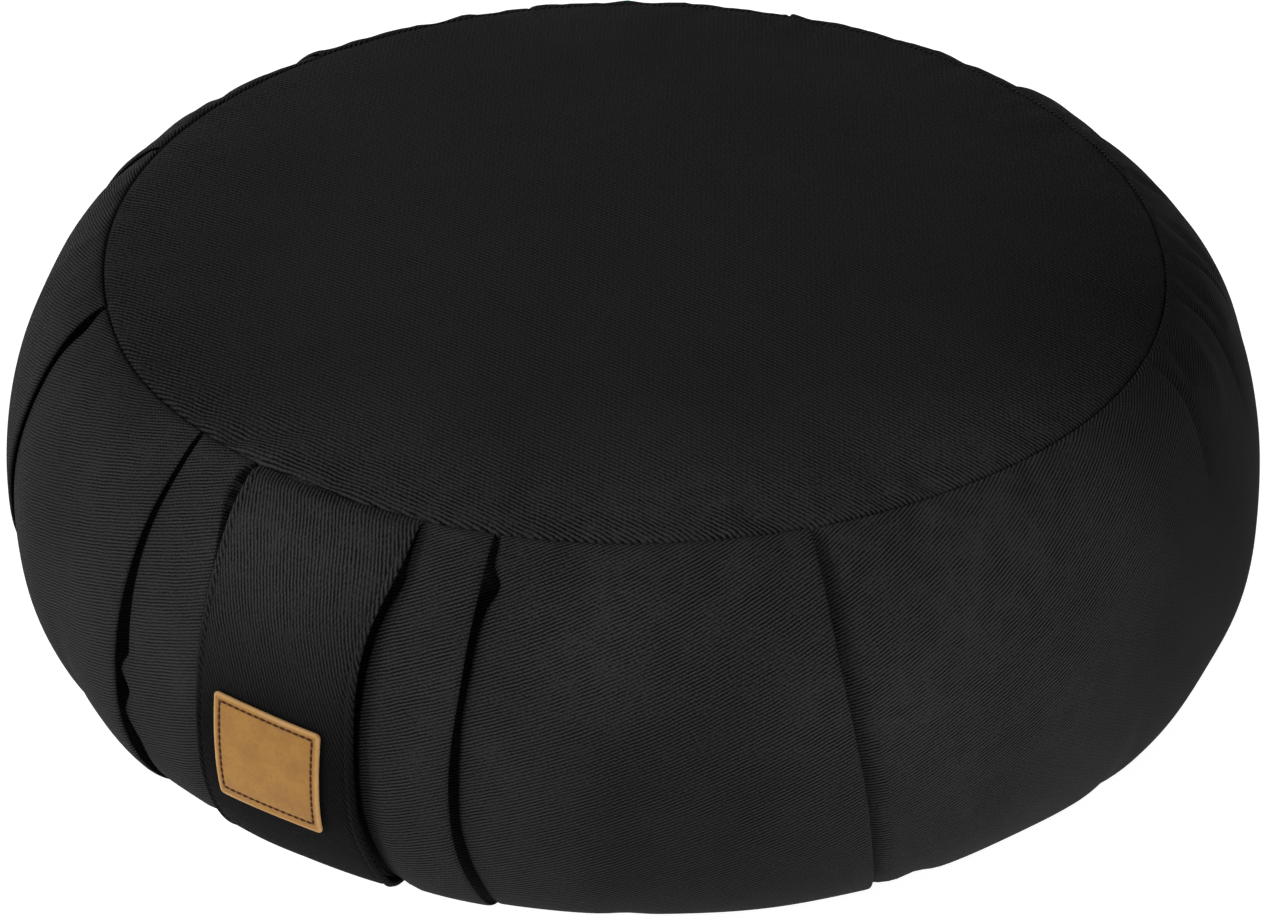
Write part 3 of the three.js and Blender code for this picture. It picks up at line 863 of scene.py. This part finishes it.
# The strap bridges from the seam over to the bulging band, so its left edge stands off near the top
def strap_bridge(share, drop):
    left = 0.9 * np.exp(-(((drop - 0.11) / 0.08) ** 2)) * (1 - smoothstep(share, 0, 0.35))
    ripple = 0.25 * wander(drop * BAND_LENGTH, 21, [37, 53]) * (0.5 + share)
    return left + (ripple + 0.3) * smoothstep(drop, 0.03, 0.15) * (1 - smoothstep(drop, 0.8, 0.95))


# The strap thins and dips where it is sewn into the top seam
def strap_point(share, drop, off):
    azimuth = strap_left(drop) + (strap_right(drop) - strap_left(drop)) * share
    length = length_at(drop)
    free = 0.25 + 0.75 * smoothstep(length, 0.3, 5)
    height = (STRAP_GAP + off + strap_bridge(share, drop)) * free - np.exp(-length / 1.2)
    return over_strap(azimuth, drop, height)


def build_strap():
    shares, offs = strap_section()
    drops = np.linspace(STRAP_START, STRAP_END, STRAP_ROWS)
    grid = strap_point(shares[None, :], drops[:, None], offs[None, :])
    obj = new_mesh_object("strap_cloth", settled(grid.reshape(-1, 3)), looped_faces(len(drops), len(shares)))
    u = np.broadcast_to(shares[None, :] * STRAP_MEAN_WIDTH, grid.shape[:2])
    v = np.broadcast_to(-length_at(drops)[:, None], grid.shape[:2])
    per_vertex = along_and_across(u, v, STRAP_TWILL_TURN).reshape(-1, 2) * STRAP_TWILL_SCALE
    set_weave(obj, per_vertex[read_from(obj.data.loops, "vertex_index", int)])
    return obj


# A point of the patch, from -1 to 1 across and up, at a height off the strap
def patch_point(across, up, off):
    s, t = (across + 1)[..., None] / 2, (1 - up)[..., None] / 2
    top_left, top_right, low_left, low_right = np.array(PATCH_CORNERS)
    place = (top_left * (1 - s) + top_right * s) * (1 - t) + (low_left * (1 - s) + low_right * s) * t
    drop = drop_at(place[..., 0])
    share = (place[..., 1] - strap_left(drop)) / (strap_right(drop) - strap_left(drop))
    return strap_point(share, drop, STRAP_THICKNESS + PATCH_GAP + off)


# A rounded rectangle inside the patch's edge, as places across and up in millimetres
def patch_outline(inset, low_inset=None, per_corner=7, per_side=14):
    low_inset = inset if low_inset is None else low_inset
    corner = max(PATCH_LEAST_CORNER, PATCH_CORNER - inset)
    right, high = PATCH_HALF_WIDTH - inset - corner, PATCH_HALF_HEIGHT - inset - corner
    low = low_inset + corner - PATCH_HALF_HEIGHT
    places = []
    centres = [(right, high), (-right, high), (-right, low), (right, low)]
    for number, centre in enumerate(centres):
        turn = np.radians(90 * number + np.linspace(0, 90, per_corner))
        arc = np.array(centre) + corner * np.stack([np.cos(turn), np.sin(turn)], -1)
        shift = np.subtract(centres[(number + 1) % 4], centre)
        places += [arc, arc[-1] + shift * np.arange(1, per_side)[:, None] / per_side]
    return np.concatenate(places)


def patch_place(places, off):
    return patch_point(places[..., 0] / PATCH_HALF_WIDTH, places[..., 1] / PATCH_HALF_HEIGHT, off)


def build_patch():
    half = PATCH_THICKNESS / 2
    levels = []
    for turn in PATCH_RIM_TURNS:
        angle = math.radians(turn)
        levels.append((half * 0.9 * (1 - math.cos(angle)), None, half + half * math.sin(angle)))
    levels += [(inset, low, PATCH_THICKNESS - depth) for inset, low, depth in PATCH_FACE_RINGS]
    rings = [(patch_outline(inset, low), off) for inset, low, off in levels]
    inner, under = rings[-1][0], patch_outline(half * 0.9)
    middle = inner.mean(0)
    rings = [(middle + (under - middle) * share, 0.0) for share in PATCH_UNDER_SHARES] + rings
    rings += [(middle + (inner - middle) * share, PATCH_THICKNESS) for share in PATCH_MIDDLE_SHARES]
    points = np.concatenate([patch_place(places, off) for places, off in rings])
    obj = new_mesh_object("patch_leather", settled(points), looped_faces(len(rings), len(inner)))
    flat = np.concatenate([places for places, _ in rings])
    set_weave(obj, flat[read_from(obj.data.loops, "vertex_index", int)])
    return obj


# Stitches along a line of points: short plump threads that dip at both ends
def stitch_mesh(name, lines, outward, radius):
    points, faces = [], []
    for (start, end), out in zip(lines, outward):
        along = end - start
        side = np.cross(along, out)
        side /= np.linalg.norm(side)
        out = np.cross(side, along)
        out /= np.linalg.norm(out)
        base = len(points)
        for ring in range(STITCH_RINGS):
            share = ring / (STITCH_RINGS - 1)
            dip = -2.1 * radius * (2 * share - 1) ** 4 + 0.15 * radius
            size = radius * (1 - 0.45 * (2 * share - 1) ** 4)
            centre = start + along * share + out * dip
            for k in range(STITCH_SIDES):
                angle = 2 * math.pi * k / STITCH_SIDES
                points.append(centre + size * (side * math.cos(angle) + out * math.sin(angle)))
        faces += [[base + f for f in face] for face in looped_faces(STITCH_RINGS, STITCH_SIDES)]
    obj = new_mesh_object(name, settled(np.array(points)), faces)
    return obj


# Even stitches along a line of flat places: both ends of each, and the way out of the cloth there
def stitched_line(places, pitch, cover, place_points, height):
    steps = np.linalg.norm(np.diff(places, axis=0), axis=1)
    lengths = np.concatenate([[0], np.cumsum(steps)])
    count = max(1, round(lengths[-1] / pitch))
    starts = (np.arange(count) + (1 - cover) / 2) * lengths[-1] / count
    ends = starts + cover * lengths[-1] / count
    middles = (starts + ends) / 2

    def at(where, off):
        here = [np.interp(where, lengths, places[:, axis]) for axis in range(2)]
        return place_points(np.stack(here, -1), off)

    above = at(middles, height + 1) - at(middles, height)
    return list(zip(at(starts, height), at(ends, height))), list(above)


def build_patch_stitches():
    outline = patch_outline(PATCH_STITCH_INSET, PATCH_STITCH_LOW_INSET, 5, 24)
    outline = np.concatenate([outline, outline[:1]])
    lines, above = stitched_line(outline, 2.3, 0.88, patch_place, PATCH_THICKNESS - 0.12)
    return stitch_mesh("patch_stitches", lines, above, 0.3)


def strap_place(places, off):
    return strap_point(places[..., 0] / STRAP_MEAN_WIDTH, drop_at(places[..., 1]), off)


def build_strap_stitches():
    lines, above = [], []
    for inset in (STRAP_STITCH_INSET, STRAP_MEAN_WIDTH - STRAP_STITCH_INSET):
        down = np.linspace(4, BAND_LENGTH * 0.93, 120)
        places = np.stack([np.full(len(down), inset), down], -1)
        made, out = stitched_line(places, 2.6, 0.86, strap_place, STRAP_THICKNESS - 0.42)
        lines += made
        above += out
    return stitch_mesh("strap_stitches", lines, above, 0.15)


# Materials
def srgb(r, g, b):
    channels = [c / 255 for c in (r, g, b)]
    return tuple(c / 12.92 if c <= 0.04045 else ((c + 0.055) / 1.055) ** 2.4 for c in channels) + (1,)


class Nodes:
    """Short ways to add shader nodes to a new material."""

    def __init__(self, name):
        self.material = bpy.data.materials.new(name)
        self.material.use_nodes = True
        self.tree = self.material.node_tree
        self.tree.nodes.clear()
        self.shader = self.add("ShaderNodeBsdfPrincipled")
        self.add("ShaderNodeOutputMaterial", {"Surface": self.shader.outputs["BSDF"]})

    def put(self, node, inputs):
        for key, value in inputs.items():
            if isinstance(value, bpy.types.NodeSocket):
                self.tree.links.new(value, node.inputs[key])
            else:
                node.inputs[key].default_value = value

    def add(self, kind, inputs=None, **settings):
        node = self.tree.nodes.new(kind)
        for key, value in settings.items():
            setattr(node, key, value)
        self.put(node, inputs or {})
        return node

    def place(self):
        return self.add("ShaderNodeTexCoord").outputs["Object"]

    def weave(self):
        return self.add("ShaderNodeUVMap", uv_map="weave").outputs["UV"]

    def parts(self, vector):
        return self.add("ShaderNodeSeparateXYZ", {0: vector}).outputs

    def math(self, operation, *values):
        return self.add("ShaderNodeMath", dict(enumerate(values)), operation=operation).outputs[0]

    def noise(self, vector, scale, detail, rough):
        inputs = {"Vector": vector, "Scale": scale, "Detail": detail, "Roughness": rough}
        return self.add("ShaderNodeTexNoise", inputs).outputs["Fac"]

    def spread(self, value, low, high, to_low=0, to_high=1):
        inputs = {"Value": value, "From Min": low, "From Max": high, "To Min": to_low, "To Max": to_high}
        return self.add("ShaderNodeMapRange", inputs, clamp=True).outputs[0]

    def mixed(self, share, first, second):
        inputs = {"Factor": share, "A": first, "B": second}
        return self.add("ShaderNodeMix", inputs, data_type="RGBA").outputs["Result"]

    def bump(self, height, distance, strength, under=None):
        inputs = {"Strength": strength, "Distance": distance, "Height": height}
        if under is not None:
            inputs["Normal"] = under
        return self.add("ShaderNodeBump", inputs).outputs["Normal"]

    def shaded(self, inputs):
        self.put(self.shader, inputs)
        return self.material


# Height of the twill's diagonal ribs of short thread floats, a little uneven in line and depth; it also sets
# the painted shade between the ribs
def rib_height(n, place):
    along, across, _ = n.parts(n.weave())
    waver = n.math("MULTIPLY", n.math("SUBTRACT", n.noise(place, 60, 4, 0.7), 0.5), TWILL_WAVER)
    turns = n.math("MULTIPLY", n.math("ADD", across, waver), 2 * math.pi / TWILL_PITCH)
    rib = n.math("MULTIPLY_ADD", n.math("COSINE", turns), 0.5, 0.5)
    lead = n.math("MULTIPLY", along, 2 * math.pi / TWILL_FLOAT)
    lead = n.math("ADD", lead, n.math("MULTIPLY", turns, 0.5))
    floats = n.math("MULTIPLY_ADD", n.math("COSINE", lead), 0.5, 0.5)
    floats = n.math("ADD", n.math("MULTIPLY", floats, 0.3), 0.7)
    height = n.math("MULTIPLY", n.math("POWER", rib, 0.8), floats)
    patchy = n.spread(n.noise(place, 150, 3, 0.6), 0.35, 0.65, 0.45, 1.15)
    apart = n.math("MULTIPLY", n.math("SUBTRACT", height, RIB_MIDDLE), patchy)
    return n.math("ADD", apart, RIB_MIDDLE)


# Cotton twill: painted shade between its ribs and painted light on their crests, felted on the top panel, with
# slow random patches of fade, painted shade towards the bottom, patches of painted light and shade, and a
# little fuzz
def twill_material(name, dark, light, painted_low_shade):
    n = Nodes(name)
    place = n.place()
    slub = n.noise(n.weave(), 1.1, 3, 0.6)
    height = n.math("ADD", rib_height(n, place), n.math("MULTIPLY", slub, 0.95))
    fade = n.math("MULTIPLY", n.noise(place, 22, 3, 0.55), 0.4)
    # Colour follows the ribs: painted shade between them and painted light on their crests
    share = n.spread(n.math("ADD", height, fade), 0.76, 1.6)
    level = n.parts(place)["Z"]
    felted = n.spread(level, *FELT_LEVELS, 0, 0.68)
    share = n.math("MULTIPLY", share, n.math("SUBTRACT", 1, felted))
    share = n.math("ADD", share, n.math("MULTIPLY", felted, FELT_SHARE))
    # Painted shade: the colour is painted darker towards the bottom, from the given low factor up to full at
    # the upper height
    painted_light_and_shade = n.spread(level, *PAINTED_SHADE_LEVELS, painted_low_shade, 1)
    # Patches of painted light and shade added to the cloth's colour
    for centre, reach, change in PAINTED_LIGHT_PATCHES:
        apart = n.add("ShaderNodeVectorMath", {0: place, 1: centre}, operation="DISTANCE")
        near = n.spread(apart.outputs["Value"], 0, reach, change, 0)
        near.node.interpolation_type = "SMOOTHSTEP"
        painted_light_and_shade = n.math("ADD", painted_light_and_shade, near)
    cloth = n.bump(n.noise(place, 120, 3, 0.55), TWILL_RELIEF, 0.35)
    return n.shaded({
        "Base Color": n.mixed(n.math("MULTIPLY", share, painted_light_and_shade), dark, light),
        "Roughness": n.spread(slub, 0.3, 0.7, 0.86, 0.97),
        "Specular IOR Level": 0.08,
        "Normal": n.bump(height, TWILL_RELIEF, 0.9, cloth),
    })


# Tan leather: fine grain, cloudy colour, a paler rim painted along its edges as a painted edge highlight, and a
# dark line under the stitches painted as shade in the stitch groove
def leather_material():
    n = Nodes("tan_leather")
    across, up, _ = n.parts(n.weave())
    place = n.place()
    clouds = n.noise(place, 110, 4, 0.55)
    specks = n.noise(place, 900, 3, 0.6)
    base = n.mixed(n.spread(clouds, 0.35, 0.65), srgb(139, 96, 38), srgb(155, 111, 49))
    base = n.mixed(n.spread(specks, 0.45, 0.75, 0, 0.35), base, srgb(112, 74, 30))
    side = n.math("SUBTRACT", PATCH_HALF_WIDTH, n.math("ABSOLUTE", across))
    end = n.math("SUBTRACT", PATCH_HALF_HEIGHT, n.math("ABSOLUTE", up))
    from_edge = n.math("MINIMUM", side, end)
    # Paler rim along the edges: a painted edge highlight
    painted_highlight_rim = n.math("ADD", from_edge, n.math("MULTIPLY", n.math("SUBTRACT", clouds, 0.5), 1.6))
    base = n.mixed(n.spread(painted_highlight_rim, 0.2, 1.4, 0.85, 0), base, srgb(194, 152, 98))
    low_end = n.math("ADD", up, PATCH_HALF_HEIGHT - PATCH_STITCH_LOW_INSET + PATCH_STITCH_INSET)
    from_stitch = n.math("SUBTRACT", n.math("MINIMUM", from_edge, low_end), PATCH_STITCH_INSET)
    # Dark line along the stitch groove: painted shade in the groove
    base = n.mixed(n.spread(n.math("ABSOLUTE", from_stitch), 0.2, 0.6, 0.8, 0), base, srgb(74, 42, 18))
    cells = n.add("ShaderNodeTexVoronoi", {"Vector": place, "Scale": 1400}, feature="F1")
    grain = n.bump(cells.outputs["Distance"], 0.00009, 0.45)
    return n.shaded({
        "Base Color": base,
        "Roughness": n.spread(clouds, 0.3, 0.7, 0.5, 0.66),
        "Specular IOR Level": 0.25,
        "Normal": n.bump(clouds, 0.0004, 0.3, grain),
    })


# Spun thread with a fine twist
def thread_material(name, dark, light):
    n = Nodes(name)
    inputs = {"Vector": n.place(), "Scale": 900, "Distortion": 1.5}
    wave = n.add("ShaderNodeTexWave", inputs, wave_type="BANDS", bands_direction="DIAGONAL")
    twist = wave.outputs["Fac"]
    return n.shaded({
        "Base Color": n.mixed(twist, dark, light),
        "Roughness": n.spread(twist, 0, 1, 0.6, 0.75),
        "Specular IOR Level": 0.12,
        "Normal": n.bump(twist, 0.00005, 0.6),
    })


# Pale floor that glows a little, so that it stays almost white
def floor_material():
    return Nodes("pale_floor").shaded({
        "Base Color": (0.4, 0.4, 0.4, 1),
        "Roughness": 0.9,
        "Emission Color": (1, 1, 1, 1),
        "Emission Strength": 0.95,
    })


def build_floor():
    h = FLOOR_HALF
    floor = new_mesh_object("floor", [(-h, -h, 0), (h, -h, 0), (h, h, 0), (-h, h, 0)], [[0, 1, 2, 3]])
    floor.location.z = -0.0002
    floor.data.materials.append(floor_material())


def add_area_light(name, place, size, power):
    light = bpy.data.lights.new(name, "AREA")
    light.shape = "SQUARE"
    light.size = size
    light.energy = power
    lamp = bpy.data.objects.new(name, light)
    bpy.context.scene.collection.objects.link(lamp)
    lamp.location = place
    lamp.rotation_euler = (Vector((0, 0, 0.05)) - Vector(place)).to_track_quat("-Z", "Y").to_euler()


def build_light():
    world = bpy.data.worlds.new("studio")
    bpy.context.scene.world = world
    world.use_nodes = True
    tree = world.node_tree
    background = tree.nodes["Background"]
    background.inputs["Color"].default_value = (1, 1, 1, 1)
    direction = tree.nodes.new("ShaderNodeTexCoord").outputs["Generated"]
    split = tree.nodes.new("ShaderNodeSeparateXYZ")
    tree.links.new(direction, split.inputs[0])
    darker = tree.nodes.new("ShaderNodeMapRange")
    for key, value in {"From Min": -1, "To Min": 0.34, "To Max": 0.06}.items():
        darker.inputs[key].default_value = value
    tree.links.new(split.outputs["X"], darker.inputs["Value"])
    tree.links.new(darker.outputs[0], background.inputs["Strength"])
    add_area_light("key", (-1.87, -0.68, 0.93), 1.2, 26)
    add_area_light("fill", (1.1, -1.85, 0.38), 1.2, 13)
    add_area_light("overhead", (-0.3, 0.3, 2.2), 1.5, 6)


def build_camera():
    data = bpy.data.cameras.new("camera")
    data.lens = CAMERA_LENS
    data.sensor_width = 36
    data.sensor_fit = "HORIZONTAL"
    data.clip_start = 0.05
    data.clip_end = 200
    camera = bpy.data.objects.new("camera", data)
    bpy.context.scene.collection.objects.link(camera)
    back = -Vector(CAMERA_FORWARD)
    turn = Matrix((CAMERA_RIGHT, CAMERA_UP, back)).transposed()
    camera.matrix_world = Matrix.Translation(Vector(CAMERA_PLACE) * MM) @ turn.to_4x4()
    bpy.context.scene.camera = camera


build_camera()
build_light()
build_floor()

# Cushion cloth painted a little darker towards the bottom, as painted shade
twill = twill_material("black_twill", srgb(8, 8, 8), srgb(57, 57, 57), painted_low_shade=0.85)
# Strap cloth painted much darker towards its lower end, as painted shade
strap_twill = twill_material("strap_twill", srgb(7, 7, 7), srgb(56, 56, 56), painted_low_shade=-0.5)
black_thread = thread_material("black_thread", srgb(10, 10, 10), srgb(28, 28, 28))
brown_thread = thread_material("brown_thread", srgb(50, 25, 10), srgb(80, 42, 18))

cushion = build_cushion()
cushion.data.materials.append(twill)
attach(cushion, "root")
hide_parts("cushion")

strap = build_strap()
strap.data.materials.append(strap_twill)
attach(strap, "root")
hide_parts("carry_strap")

strap_stitches = build_strap_stitches()
strap_stitches.data.materials.append(black_thread)
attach(strap_stitches, "root")

patch = build_patch()
patch.data.materials.append(leather_material())
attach(patch, "root")
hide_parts("leather_patch")

patch_stitches = build_patch_stitches()
patch_stitches.data.materials.append(brown_thread)
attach(patch_stitches, "root")

bpy.context.scene.view_settings.view_transform = "Standard"
